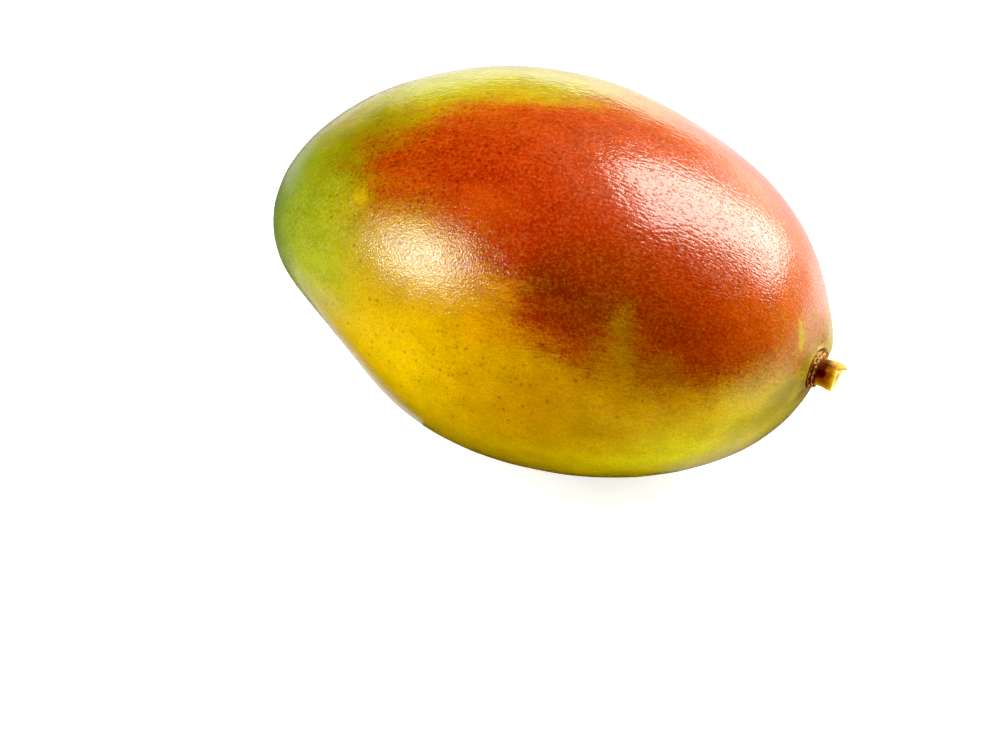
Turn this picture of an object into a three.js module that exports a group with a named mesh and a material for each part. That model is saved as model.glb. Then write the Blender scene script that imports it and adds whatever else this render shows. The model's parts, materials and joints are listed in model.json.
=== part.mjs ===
// A whole ripe mango lying on its broad side, with the short cut stub of its stalk.
// Millimetres, +Z up. +X runs along the fruit from the apex to the stalk, and -Y is the
// side of the fruit with the beak. The origin is on the surface that the fruit rests on,
// under the middle of the whole object.

import * as THREE from "three";

// ---- Driving dimensions, in millimetres ----

const FRUIT_LENGTH = 130; // from stalk to apex
const FRUIT_WIDTH = 92.6; // across the flat of the stone
const FRUIT_THICKNESS = 80.8; // through the stone
const STALK_DIAMETER = 6.1;
const STALK_LENGTH = 5.6; // from the seat to the cut end
const COLLAR_DIAMETER = 9.2; // corky foot of the stalk
const FIT_GAP = 0.3; // between the stalk and the skin round it
const REST_DEPTH = 1.5; // how much the underside is flattened where it rests

// ---- How the fruit departs from an ellipsoid ----

const WIDTH_TAPER = -0.055; // share of the width gained from the middle to the stalk
const THICKNESS_TAPER = 0.053;
const BOW = 3.2; // how far the apex swings towards -Y
const DROOP = 1.7; // how far the apex hangs
const ROUND_END = 40; // degrees from the stalk over which the section turns from round to oval
const REST_BLEND = 0.12; // softens the edge of the resting spot

// A swell is a soft rise of the skin, or a hollow where its height is negative. Its place is an
// angle from the stalk and an angle round the fruit, from +Y over the top, in degrees.
const SWELLS = [
  { what: "hollow of the belly under the beak", along: 129.5, around: 203.5, spread: 26, height: -6.6 },
  { what: "beak", along: 141, around: 170, spread: 11, height: 0.6 },
  { what: "shoulder beside the stalk", along: 11, around: 0, spread: 9, height: 1.2 },
  { what: "flat on the upper back", along: 68, around: 44, spread: 11, height: -0.7 },
  { what: "rise on the upper back", along: 105, around: 58, spread: 19, height: 0.7 },
];

// A crease is a shallow valley between two places on the skin, fading towards its far end.
const CREASES = [
  { what: "seam up from the stalk", from: [7, 105], to: [27, 75], width: 3.2, height: -0.55 },
];
const CREASE_FADE = 0.6; // share of its depth that a crease loses by its far end

// ---- The stalk seat: a small flat disc with a socket, ringed by a low corky lip ----

const SEAT_DROP = 0.45; // how far the seat is sunk below the end of the ellipsoid
const SEAT_RADIUS = COLLAR_DIAMETER / 2 + 0.3;
const SEAT_EASE = 1.4; // width of the band in which the flat seat turns into free skin
const ROOT_RADIUS = STALK_DIAMETER / 2;
const ROOT_DEPTH = 2.7;
const LIP = { radius: 5.5, width: 0.6, height: 0.28 };

// ---- Mesh fineness ----

const FRUIT_SIDES = 84;
const FIRST_ROW = 0.55; // spacing of the rows of skin next to the seat
const ROW_GROWTH = 1.22; // each row is this much wider than the last, up to the widest
const WIDEST_ROW = 4.1;
const STALK_SIDES = 36;

const halfLength = FRUIT_LENGTH / 2;
const seatX = halfLength - SEAT_DROP;
const socketRadius = ROOT_RADIUS + FIT_GAP;

const smooth = (v) => {
  const s = THREE.MathUtils.clamp(v, 0, 1);
  return s * s * (3 - 2 * s);
};

// 0 where h is under -blend, h where it is over blend, and a parabola between.
const softPositive = (h, blend) => {
  if (h <= -blend) return 0;
  return h >= blend ? h : (h + blend) ** 2 / (4 * blend);
};

// The unit direction at an angle from the stalk and an angle round the fruit, in radians.
const direction = (along, around) =>
  new THREE.Vector3(
    Math.cos(along),
    Math.sin(along) * Math.cos(around),
    Math.sin(along) * Math.sin(around),
  );

const place = (alongDegrees, aroundDegrees) =>
  direction(THREE.MathUtils.degToRad(alongDegrees), THREE.MathUtils.degToRad(aroundDegrees));

const swellAt = (swell, way) => {
  const away = place(swell.along, swell.around).angleTo(way);
  return swell.height * Math.exp(-((away / THREE.MathUtils.degToRad(swell.spread)) ** 2));
};

const creaseAt = (crease, way) => {
  const line = new THREE.Line3(place(...crease.from), place(...crease.to));
  const share = line.closestPointToPointParameter(way, true);
  const away = line.at(share, new THREE.Vector3()).distanceTo(way);
  const depth = crease.height * (1 - CREASE_FADE * share);
  return depth * Math.exp(-((away / THREE.MathUtils.degToRad(crease.width)) ** 2));
};

const lipAt = (fromAxis) =>
  LIP.height * Math.exp(-(((fromAxis - LIP.radius) / LIP.width) ** 2));

// The skin at an angle from the stalk and an angle round the fruit, about the fruit's middle.
function skinPoint(along, around, restZ) {
  const t = Math.cos(along);
  const s = Math.sin(along);
  const oval = smooth(along / THREE.MathUtils.degToRad(ROUND_END));
  const back = ((1 - t) / 2) ** 2;
  let halfWidth = (FRUIT_WIDTH / 2) * (1 + WIDTH_TAPER * t);
  let halfThickness = (FRUIT_THICKNESS / 2) * (1 + THICKNESS_TAPER * t);
  const round = (halfWidth + halfThickness) / 2;
  halfWidth = THREE.MathUtils.lerp(round, halfWidth, oval);
  halfThickness = THREE.MathUtils.lerp(round, halfThickness, oval);

  const point = new THREE.Vector3(
    halfLength * t,
    halfWidth * s * Math.cos(around) - BOW * back,
    halfThickness * s * Math.sin(around) - DROOP * back,
  );
  const normal = new THREE.Vector3(
    t / halfLength,
    (s * Math.cos(around)) / halfWidth,
    (s * Math.sin(around)) / halfThickness,
  ).normalize();
  const way = direction(along, around);
  const swell = SWELLS.reduce((sum, one) => sum + swellAt(one, way), 0);
  const crease = CREASES.reduce((sum, one) => sum + creaseAt(one, way), 0);
  point.addScaledVector(normal, swell + crease);

  if (t > 0) {
    const fromAxis = Math.hypot(point.y, point.z);
    const free = smooth((fromAxis - SEAT_RADIUS) / SEAT_EASE);
    point.x = THREE.MathUtils.lerp(seatX, point.x, free) + lipAt(fromAxis);
  }
  point.z = restZ + softPositive(point.z - restZ, REST_BLEND);
  return point;
}

// Angles from the stalk of the rows of skin: fine round the socket's mouth, then ever wider.
function rowAngles() {
  const first = Math.asin((socketRadius + FIRST_ROW) / (FRUIT_WIDTH / 2));
  const angles = [first];
  let step = FIRST_ROW;
  while (angles.at(-1) < Math.PI) {
    angles.push(angles.at(-1) + step / halfLength);
    step = Math.min(step * ROW_GROWTH, WIDEST_ROW);
  }
  const stretch = (Math.PI - first) / (angles.at(-1) - first);
  return angles.map((angle) => first + (angle - first) * stretch).slice(0, -1);
}

const circle = (sides, make) =>
  Array.from({ length: sides }, (_, side) => make((2 * Math.PI * side) / sides));

// A closed mesh from a point, through rings of equal count, to another point. Its faces point
// out where every ring turns anticlockwise as seen from the start looking back along the rings.
function ringMesh(startPoint, rings, endPoint) {
  const sides = rings[0].length;
  const points = [startPoint, ...rings.flat(), endPoint];
  const at = (ring, side) => 1 + ring * sides + (side % sides);
  const last = points.length - 1;
  const index = [];
  for (let side = 0; side < sides; side++) {
    index.push(0, at(0, side), at(0, side + 1));
    index.push(last, at(rings.length - 1, side + 1), at(rings.length - 1, side));
    for (let ring = 0; ring < rings.length - 1; ring++) {
      index.push(at(ring, side), at(ring + 1, side), at(ring + 1, side + 1));
      index.push(at(ring, side), at(ring + 1, side + 1), at(ring, side + 1));
    }
  }
  return new THREE.BufferGeometry().setFromPoints(points).setIndex(index);
}

// The fruit: the socket's floor and wall, then the rows of skin from the seat to the apex.
function makeFruit(restZ) {
  const floorX = seatX - ROOT_DEPTH - FIT_GAP;
  const socketRing = (x, radius) =>
    circle(FRUIT_SIDES, (a) => new THREE.Vector3(x, radius * Math.cos(a), radius * Math.sin(a)));
  const rings = [
    socketRing(floorX, socketRadius * 0.5),
    socketRing(floorX, socketRadius),
    socketRing(seatX, socketRadius),
    ...rowAngles().map((along) => circle(FRUIT_SIDES, (a) => skinPoint(along, a, restZ))),
  ];
  return ringMesh(new THREE.Vector3(floorX, 0, 0), rings, skinPoint(Math.PI, 0, restZ));
}

// The stalk's outline, as [distance from the seat, radius] from its buried root to its cut end.
const COLLAR_RADIUS = COLLAR_DIAMETER / 2;
const STALK_PROFILE = [
  [-ROOT_DEPTH, ROOT_RADIUS - 0.25],
  [-ROOT_DEPTH + 0.25, ROOT_RADIUS],
  [FIT_GAP, ROOT_RADIUS],
  [FIT_GAP, COLLAR_RADIUS - 0.3],
  [FIT_GAP + 0.22, COLLAR_RADIUS],
  [FIT_GAP + 0.62, COLLAR_RADIUS],
  [FIT_GAP + 0.85, COLLAR_RADIUS - 0.35],
  [FIT_GAP + 0.72, COLLAR_RADIUS - 0.7],
  [FIT_GAP + 1.0, COLLAR_RADIUS - 0.85],
  [FIT_GAP + 1.35, COLLAR_RADIUS - 0.95],
  [FIT_GAP + 1.55, COLLAR_RADIUS - 1.3],
  [FIT_GAP + 1.75, ROOT_RADIUS - 0.15],
  [FIT_GAP + 2.4, ROOT_RADIUS - 0.3],
  [FIT_GAP + 3.3, ROOT_RADIUS - 0.2],
  [FIT_GAP + 4.3, ROOT_RADIUS - 0.05],
  [STALK_LENGTH, ROOT_RADIUS],
  [STALK_LENGTH, ROOT_RADIUS - 0.45],
  [STALK_LENGTH - 0.05, ROOT_RADIUS * 0.5],
  [STALK_LENGTH - 0.1, 0.75],
  [STALK_LENGTH - 0.6, 0.45],
];

const FACETS = { count: 5, depth: 0.045, turn: 0.6 }; // the stub is faintly five-sided
const SPLINTER = { around: 80, spread: 16, length: 1.5, depth: 0.9 }; // torn tooth on the rim of the cut
const CUT_SLANT = 0.35; // how far the upper edge of the cut stands ahead of its middle

// The stalk stands on its root along +Z here, and is laid along +X in its group.
function stalkPoint(height, radius, around) {
  const aboveCollar = height - FIT_GAP - 1;
  const facet = Math.cos(FACETS.count * around + FACETS.turn) * FACETS.depth * smooth(aboveCollar / 1.5);
  const away = THREE.MathUtils.radToDeg(around) - SPLINTER.around;
  const nearRim = smooth((radius - ROOT_RADIUS + SPLINTER.depth) / 0.5);
  const nearCut = smooth((height - STALK_LENGTH + 0.9) / 0.9);
  const splinter = SPLINTER.length * nearRim * nearCut * Math.exp(-((away / SPLINTER.spread) ** 2));
  const slant = CUT_SLANT * smooth((aboveCollar - 1) / 3) * (radius / ROOT_RADIUS) * Math.sin(around);
  return new THREE.Vector3(
    radius * (1 + facet) * Math.cos(around),
    radius * (1 + facet) * Math.sin(around),
    height + splinter + slant,
  );
}

function makeStalk() {
  const rings = STALK_PROFILE.map(([height, radius]) =>
    circle(STALK_SIDES, (a) => stalkPoint(height, radius, a)),
  ).reverse();
  const pit = new THREE.Vector3(0, 0, STALK_LENGTH - 0.65);
  const foot = new THREE.Vector3(0, 0, -ROOT_DEPTH);
  return ringMesh(pit, rings, foot);
}

// ---- The object ----

const skin = new THREE.MeshStandardMaterial({ color: 0xc8641e, roughness: 0.35, metalness: 0 });
const stalkWood = new THREE.MeshStandardMaterial({ color: 0xb48a35, roughness: 0.7, metalness: 0 });

const restZ = REST_DEPTH - FRUIT_THICKNESS / 2 - DROOP / 4; // a quarter of the droop is at mid-length

const fruit = new THREE.Mesh(makeFruit(restZ), skin);
fruit.name = "fruit";

const stalk = new THREE.Mesh(makeStalk(), stalkWood);
stalk.name = "stalk";
const stalkSeat = new THREE.Group();
stalkSeat.position.x = seatX;
stalkSeat.rotation.set(0, Math.PI / 2, Math.PI / 2);
stalkSeat.add(stalk);

const mango = new THREE.Group();
mango.add(fruit, stalkSeat);

// Stands the whole over the origin.
const box = new THREE.Box3().setFromObject(mango, true);
const middle = box.getCenter(new THREE.Vector3());
mango.position.set(-middle.x, -middle.y, -box.min.z);

export default mango;
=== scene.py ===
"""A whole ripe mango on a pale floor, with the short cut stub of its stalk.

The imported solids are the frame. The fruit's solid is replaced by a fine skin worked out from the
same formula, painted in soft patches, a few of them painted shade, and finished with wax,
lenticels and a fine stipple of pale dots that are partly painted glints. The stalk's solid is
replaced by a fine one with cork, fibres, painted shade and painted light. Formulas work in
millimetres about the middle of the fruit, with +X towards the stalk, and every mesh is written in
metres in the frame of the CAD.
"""

import json
import logging
import math
from dataclasses import dataclass, field
from enum import Enum
from typing import Sequence

import bpy
import numpy as np
from mathutils import Matrix, Vector

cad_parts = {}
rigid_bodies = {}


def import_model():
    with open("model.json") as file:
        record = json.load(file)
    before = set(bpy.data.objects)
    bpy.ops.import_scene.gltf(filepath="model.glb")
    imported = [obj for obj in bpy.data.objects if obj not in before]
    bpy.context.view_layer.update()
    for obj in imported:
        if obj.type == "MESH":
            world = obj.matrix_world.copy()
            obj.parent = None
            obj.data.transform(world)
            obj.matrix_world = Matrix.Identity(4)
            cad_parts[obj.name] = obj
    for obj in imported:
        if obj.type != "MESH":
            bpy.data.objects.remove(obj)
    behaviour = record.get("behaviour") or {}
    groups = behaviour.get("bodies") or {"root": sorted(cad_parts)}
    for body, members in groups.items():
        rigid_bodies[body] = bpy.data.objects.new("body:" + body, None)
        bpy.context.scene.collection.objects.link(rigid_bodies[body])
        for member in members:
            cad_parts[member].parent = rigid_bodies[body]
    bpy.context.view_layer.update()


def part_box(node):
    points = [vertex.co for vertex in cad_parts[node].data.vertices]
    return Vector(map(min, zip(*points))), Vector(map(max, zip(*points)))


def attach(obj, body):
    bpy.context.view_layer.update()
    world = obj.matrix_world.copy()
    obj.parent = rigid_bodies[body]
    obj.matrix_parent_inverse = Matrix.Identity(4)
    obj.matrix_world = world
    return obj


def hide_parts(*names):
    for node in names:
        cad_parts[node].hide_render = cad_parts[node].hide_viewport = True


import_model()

LOG = logging.getLogger("mango")
MM = 0.001
FULL_TURN = 2.0 * math.pi
Colour = tuple[float, float, float]


# ---- Small mathematics ----


def smooth(value: np.ndarray) -> np.ndarray:
    """Eased step, 3v^2 - 2v^3, with v held between 0 and 1.

    Args:
        value: Any numbers.

    Returns:
        Numbers from 0 to 1 that start and end level.
    """
    held = np.clip(value, 0.0, 1.0)
    return held * held * (3.0 - 2.0 * held)


def soft_positive(height: np.ndarray, blend: float) -> np.ndarray:
    """0 below -blend, the height above blend, and (h + b)^2 / 4b between.

    Args:
        height: Signed heights.
        blend: Half the width of the rounded part.

    Returns:
        Heights with their negative part cut off softly.
    """
    bent = (height + blend) ** 2 / (4.0 * blend)
    return np.where(height <= -blend, 0.0, np.where(height >= blend, height, bent))


def bell(distance: np.ndarray, spread: float) -> np.ndarray:
    """Gaussian bell, exp(-(d / s)^2).

    Args:
        distance: Distances from the middle of the bell.
        spread: Distance at which the bell is down to 0.37.

    Returns:
        Weights from 0 to 1.
    """
    return np.exp(-((distance / spread) ** 2))


def direction(along: np.ndarray, around: np.ndarray) -> np.ndarray:
    """Unit vector at an angle from the stalk and an angle round the fruit.

    It is (cos a, sin a cos r, sin a sin r).

    Args:
        along: Angle from the stalk's pole, radians.
        around: Angle from +Y over the top, radians.

    Returns:
        Vectors, in a last axis of three.
    """
    return np.stack(
        [np.cos(along), np.sin(along) * np.cos(around), np.sin(along) * np.sin(around)], axis=-1
    )


def place(along: float, around: float) -> np.ndarray:
    """The unit vector of a place given in degrees."""
    return direction(np.radians(along), np.radians(around))


def ring(along: np.ndarray, radius: np.ndarray, around: np.ndarray) -> np.ndarray:
    """Points round the X axis: (x, r cos a, r sin a).

    Args:
        along: Places along X.
        radius: Distances from the axis.
        around: Angles from +Y over the top, radians.

    Returns:
        Points, in a last axis of three.
    """
    return np.stack([along, radius * np.cos(around), radius * np.sin(around)], axis=-1)


def degrees_from(around: np.ndarray, middle: float) -> np.ndarray:
    """How far angles in radians are from a middle in degrees, from -180 to 180 degrees."""
    apart = around - math.radians(middle)
    return np.degrees(np.arctan2(np.sin(apart), np.cos(apart)))


def unit(vectors: np.ndarray) -> np.ndarray:
    """Vectors scaled to a length of one along their last axis."""
    return vectors / np.maximum(np.linalg.norm(vectors, axis=-1, keepdims=True), 1e-12)


def linear(colour: Colour) -> np.ndarray:
    """Linear light of a display colour given from 0 to 255."""
    share = np.asarray(colour, float) / 255.0
    return np.where(share <= 0.04045, share / 12.92, ((share + 0.055) / 1.055) ** 2.4)


@dataclass(frozen=True)
class Waves:
    """A field of soft random waves in space: the mean of cosines with seeded directions and phases.

    Attributes:
        length: Wavelength in millimetres.
        seed: Seed of the random draw.
        count: How many waves are added.
        stretch: How many times longer the waves are along X than across it.
        pace: Least and greatest share of the mean number of waves in a length.
    """

    length: float
    seed: int
    count: int = 18
    stretch: float = 1.0
    pace: tuple[float, float] = (0.7, 1.4)

    def at(self, points: np.ndarray) -> np.ndarray:
        """Values of about -1 to 1 at points in millimetres.

        Args:
            points: Places, in a last axis of three.

        Returns:
            One value for each place.
        """
        draw = np.random.default_rng(self.seed)
        ways = unit(draw.normal(size=(self.count, 3)))
        ways *= FULL_TURN / self.length * draw.uniform(*self.pace, size=(self.count, 1))
        ways[:, 0] /= self.stretch
        phases = draw.uniform(0.0, FULL_TURN, size=self.count)
        return np.cos(points @ ways.T + phases).sum(axis=-1) * math.sqrt(2.0 / self.count) / 2.0


# ---- Meshes ----


def grid_mesh(name: str, start: np.ndarray, rows: np.ndarray, end: np.ndarray) -> bpy.types.Mesh:
    """A closed skin of quads from a point, through closed rows, to another point.

    Row i and row i + 1 are joined by quads, each row's end meets its start, and the two
    end points are joined to the first and last rows by fans of triangles. Faces point out
    where each row turns anticlockwise as seen from the start looking along the rows.

    Args:
        name: Name of the mesh.
        start: First point, millimetres.
        rows: Points in an array of rows by sides by three, millimetres.
        end: Last point, millimetres.

    Returns:
        The mesh, in metres, shaded smooth.
    """
    count, sides, _ = rows.shape
    points = np.vstack([start[None], rows.reshape(-1, 3), end[None]]) * MM
    side = np.arange(sides)
    after = (side + 1) % sides
    base = 1 + np.arange(count - 1)[:, None] * sides
    below = base + sides
    quads = np.stack([base + side, below + side, below + after, base + after], axis=-1)
    last = len(points) - 1
    rim = 1 + (count - 1) * sides
    first_fan = np.stack([np.zeros_like(side), 1 + side, 1 + after], axis=-1)
    last_fan = np.stack([np.full_like(side, last), rim + after, rim + side], axis=-1)
    loops = np.concatenate([first_fan.ravel(), quads.ravel(), last_fan.ravel()])
    sizes = np.concatenate([np.full(sides, 3), np.full(quads.size // 4, 4), np.full(sides, 3)])
    starts = np.concatenate([[0], np.cumsum(sizes)[:-1]])
    mesh = bpy.data.meshes.new(name)
    mesh.vertices.add(len(points))
    mesh.vertices.foreach_set("co", points.ravel())
    mesh.loops.add(len(loops))
    mesh.loops.foreach_set("vertex_index", loops.astype(np.int32))
    mesh.polygons.add(len(sizes))
    mesh.polygons.foreach_set("loop_start", starts.astype(np.int32))
    mesh.polygons.foreach_set("use_smooth", np.ones(len(sizes), bool))
    mesh.update(calc_edges=True)
    mesh.validate()
    return mesh


def add_colour(mesh: bpy.types.Mesh, name: str, colours: np.ndarray) -> None:
    """Stores linear colours on the points of a mesh.

    Args:
        mesh: The mesh.
        name: Name of the attribute.
        colours: Linear red, green and blue for each point.
    """
    layer = mesh.attributes.new(name, "FLOAT_COLOR", "POINT")
    opaque = np.ones((len(colours), 4), np.float32)
    opaque[:, :3] = np.clip(colours, 0.0, 1.0)
    layer.data.foreach_set("color", opaque.ravel())


def add_vectors(mesh: bpy.types.Mesh, name: str, vectors: np.ndarray) -> None:
    """Stores vectors on the points of a mesh.

    Args:
        mesh: The mesh.
        name: Name of the attribute.
        vectors: Three numbers for each point.
    """
    layer = mesh.attributes.new(name, "FLOAT_VECTOR", "POINT")
    layer.data.foreach_set("vector", vectors.astype(np.float32).ravel())


def add_share(mesh: bpy.types.Mesh, name: str, values: np.ndarray) -> None:
    """Stores one number from 0 to 1 on each point of a mesh.

    Args:
        mesh: The mesh.
        name: Name of the attribute.
        values: The numbers.
    """
    layer = mesh.attributes.new(name, "FLOAT", "POINT")
    layer.data.foreach_set("value", np.clip(values, 0.0, 1.0).astype(np.float32))


def add_piece(mesh: bpy.types.Mesh, material: bpy.types.Material, node: str) -> None:
    """Puts a mesh in the scene at the origin as the piece that stands for a CAD node.

    Args:
        mesh: The finished mesh.
        material: Its material.
        node: Name of the CAD node that it replaces.
    """
    piece = bpy.data.objects.new(mesh.name, mesh)
    bpy.context.scene.collection.objects.link(piece)
    mesh.materials.append(material)
    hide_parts(node)
    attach(piece, "root")
    LOG.info("%s: %d points, %d faces", piece.name, len(mesh.vertices), len(mesh.polygons))


# ---- Shader nodes ----


NOISE_ROUGHNESS = 0.55


class Graph:
    """A material's node tree, with short ways to add the nodes that the finishes use."""

    def __init__(self, name: str) -> None:
        """Makes an empty material with a surface output.

        Args:
            name: Name of the material.
        """
        self.material = bpy.data.materials.new(name)
        self.material.use_nodes = True
        self.tree = self.material.node_tree
        self.tree.nodes.clear()
        self.output = self.tree.nodes.new("ShaderNodeOutputMaterial")
        self.objects = self.tree.nodes.new("ShaderNodeTexCoord").outputs["Object"]

    def plug(self, socket: bpy.types.NodeSocket, value: object) -> None:
        """Links an output to a socket, or sets the socket's own value.

        Args:
            socket: The input socket.
            value: An output socket, a number, or numbers.
        """
        if isinstance(value, bpy.types.NodeSocket):
            self.tree.links.new(value, socket)
        elif isinstance(value, (tuple, list, np.ndarray)) and len(socket.default_value) == 4:
            socket.default_value = (*[float(v) for v in value][:3], 1.0)
        else:
            socket.default_value = value

    def attribute(self, name: str, output: str) -> bpy.types.NodeSocket:
        """An attribute of the piece's mesh, as its Color, Vector or Fac output."""
        node = self.tree.nodes.new("ShaderNodeAttribute")
        node.attribute_name = name
        return node.outputs[output]

    def math(self, kind: str, a: object, b: object = 0.0, c: object = 0.0) -> bpy.types.NodeSocket:
        """A Math node.

        Args:
            kind: The operation's name.
            a: First input.
            b: Second input.
            c: Third input.

        Returns:
            The result.
        """
        node = self.tree.nodes.new("ShaderNodeMath")
        node.operation = kind
        for socket, value in zip(node.inputs, (a, b, c)):
            self.plug(socket, value)
        return node.outputs[0]

    def ease(self, value: object, low: float, high: float) -> bpy.types.NodeSocket:
        """An eased ramp from 0 at low to 1 at high.

        Args:
            value: The input.
            low: Where the ramp leaves 0.
            high: Where it reaches 1.

        Returns:
            The ramp's value.
        """
        node = self.tree.nodes.new("ShaderNodeMapRange")
        node.interpolation_type = "SMOOTHSTEP"
        self.plug(node.inputs["Value"], value)
        node.inputs["From Min"].default_value = low
        node.inputs["From Max"].default_value = high
        return node.outputs["Result"]

    def scaled(self, stretch: Sequence[float], where: object = None) -> bpy.types.NodeSocket:
        """Coordinates, scaled along each axis by a Mapping node.

        Args:
            stretch: Scale along each axis.
            where: Coordinates, or the piece's own.

        Returns:
            The scaled coordinates.
        """
        node = self.tree.nodes.new("ShaderNodeMapping")
        self.plug(node.inputs["Vector"], self.objects if where is None else where)
        node.inputs["Scale"].default_value = stretch
        return node.outputs["Vector"]

    def noise(self, size: float, detail: float = 2.0, where: object = None) -> bpy.types.NodeSocket:
        """Noise from 0 to 1.

        Args:
            size: Size of its lumps in millimetres.
            detail: How many finer layers are added.
            where: Coordinates, or the piece's own.

        Returns:
            The noise.
        """
        node = self.tree.nodes.new("ShaderNodeTexNoise")
        self.plug(node.inputs["Vector"], self.objects if where is None else where)
        node.inputs["Scale"].default_value = 1.0 / (size * MM)
        node.inputs["Detail"].default_value = detail
        node.inputs["Roughness"].default_value = NOISE_ROUGHNESS
        return node.outputs["Fac"]

    def product(self, *values: object) -> bpy.types.NodeSocket:
        """The product of two or more values."""
        total, *others = values
        for value in others:
            total = self.math("MULTIPLY", total, value)
        return total

    def drawn_out(self, lengthwise: float | None, lines: object) -> bpy.types.NodeSocket:
        """The coordinates along the fibres, scaled along them, or the piece's own for None."""
        return self.objects if lengthwise is None else self.scaled((1.0, 1.0, lengthwise), lines)

    def cells(self, size: float, smoothness: float = 0.0, where: object = None) -> bpy.types.Node:
        """A Voronoi node.

        Args:
            size: Distance between cells in millimetres.
            smoothness: How far neighbouring cells run together, from 0 to 1.
            where: Coordinates, or the piece's own.

        Returns:
            The node, with its Distance and Color outputs.
        """
        node = self.tree.nodes.new("ShaderNodeTexVoronoi")
        if smoothness > 0.0:
            node.feature = "SMOOTH_F1"
            node.inputs["Smoothness"].default_value = smoothness
        self.plug(node.inputs["Vector"], self.objects if where is None else where)
        node.inputs["Scale"].default_value = 1.0 / (size * MM)
        return node

    def mix(self, share: object, a: object, b: object, kind: str = "MIX") -> bpy.types.NodeSocket:
        """A colour mix.

        Args:
            share: How much of b is laid over a.
            a: The colour below.
            b: The colour above.
            kind: The blend type.

        Returns:
            The mixed colour.
        """
        node = self.tree.nodes.new("ShaderNodeMix")
        node.data_type = "RGBA"
        node.blend_type = kind
        self.plug(node.inputs[0], share)
        self.plug(node.inputs[6], a)
        self.plug(node.inputs[7], b)
        return node.outputs[2]

    def channel(self, colour: object, name: str) -> bpy.types.NodeSocket:
        """One channel, Red, Green or Blue, of a colour."""
        node = self.tree.nodes.new("ShaderNodeSeparateColor")
        self.plug(node.inputs[0], colour)
        return node.outputs[name]

    def tint(self, colour: object, shade: object) -> bpy.types.NodeSocket:
        """A colour made lighter or darker by a factor."""
        grey = self.tree.nodes.new("ShaderNodeCombineColor")
        for socket in grey.inputs:
            self.plug(socket, shade)
        return self.mix(1.0, colour, grey.outputs[0], "MULTIPLY")

    def bump(self, height: object, depth: float, below: object = None) -> bpy.types.NodeSocket:
        """A bumped normal.

        Args:
            height: Height from 0 to 1.
            depth: What a height of 1 stands for, in millimetres.
            below: The normal that it is added to, if any.

        Returns:
            The normal.
        """
        node = self.tree.nodes.new("ShaderNodeBump")
        node.inputs["Strength"].default_value = 1.0
        node.inputs["Distance"].default_value = depth * MM
        self.plug(node.inputs["Height"], height)
        if below is not None:
            self.plug(node.inputs["Normal"], below)
        return node.outputs["Normal"]

    def surface(self, **sockets: object) -> bpy.types.Material:
        """Ends the material with a Principled shader.

        Args:
            sockets: Values by socket name, with _ for a space.

        Returns:
            The material.
        """
        shader = self.tree.nodes.new("ShaderNodeBsdfPrincipled")
        for name, value in sockets.items():
            self.plug(shader.inputs[name.replace("_", " ")], value)
        self.tree.links.new(shader.outputs[0], self.output.inputs["Surface"])
        return self.material


# ---- The form of the fruit ----


@dataclass(frozen=True)
class Swell:
    """A soft rise of the skin, or a hollow where its height is negative.

    Attributes:
        along: Degrees from the stalk.
        around: Degrees from +Y over the top.
        spread: Degrees at which it is down to 0.37 of its height.
        height: Millimetres.
    """

    along: float
    around: float
    spread: float
    height: float

    def at(self, ways: np.ndarray) -> np.ndarray:
        """Height times a bell of the angle away from its place."""
        away = np.degrees(np.arccos(np.clip(ways @ place(self.along, self.around), -1.0, 1.0)))
        return self.height * bell(away, self.spread)


@dataclass(frozen=True)
class Crease:
    """A shallow valley along the chord between two places, fading towards its far end.

    Attributes:
        start: Degrees along and around of its deep end.
        end: Degrees along and around of its far end.
        width: Degrees at which it is down to 0.37 of its depth.
        height: Millimetres, negative for a valley.
        fade: Share of its depth that is lost by its far end.
    """

    start: tuple[float, float]
    end: tuple[float, float]
    width: float
    height: float
    fade: float = 0.6

    def nearness(self, ways: np.ndarray) -> tuple[np.ndarray, np.ndarray]:
        """How near each direction is to the crease, and how far along the crease it is.

        The nearest point of the chord is p + s (q - p), with s the projection held between 0
        and 1, and the nearness is a bell of the distance to it.

        Args:
            ways: Unit vectors.

        Returns:
            Nearness from 0 to 1, and the share s.
        """
        p = place(*self.start)
        chord = place(*self.end) - p
        share = np.clip((ways - p) @ chord / (chord @ chord), 0.0, 1.0)
        away = np.linalg.norm(ways - p - share[..., None] * chord, axis=-1)
        return bell(away, math.radians(self.width)), share

    def at(self, ways: np.ndarray) -> np.ndarray:
        """Height times the nearness, times 1 less the fade along its length."""
        near, share = self.nearness(ways)
        return self.height * near * (1.0 - self.fade * share)


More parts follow.
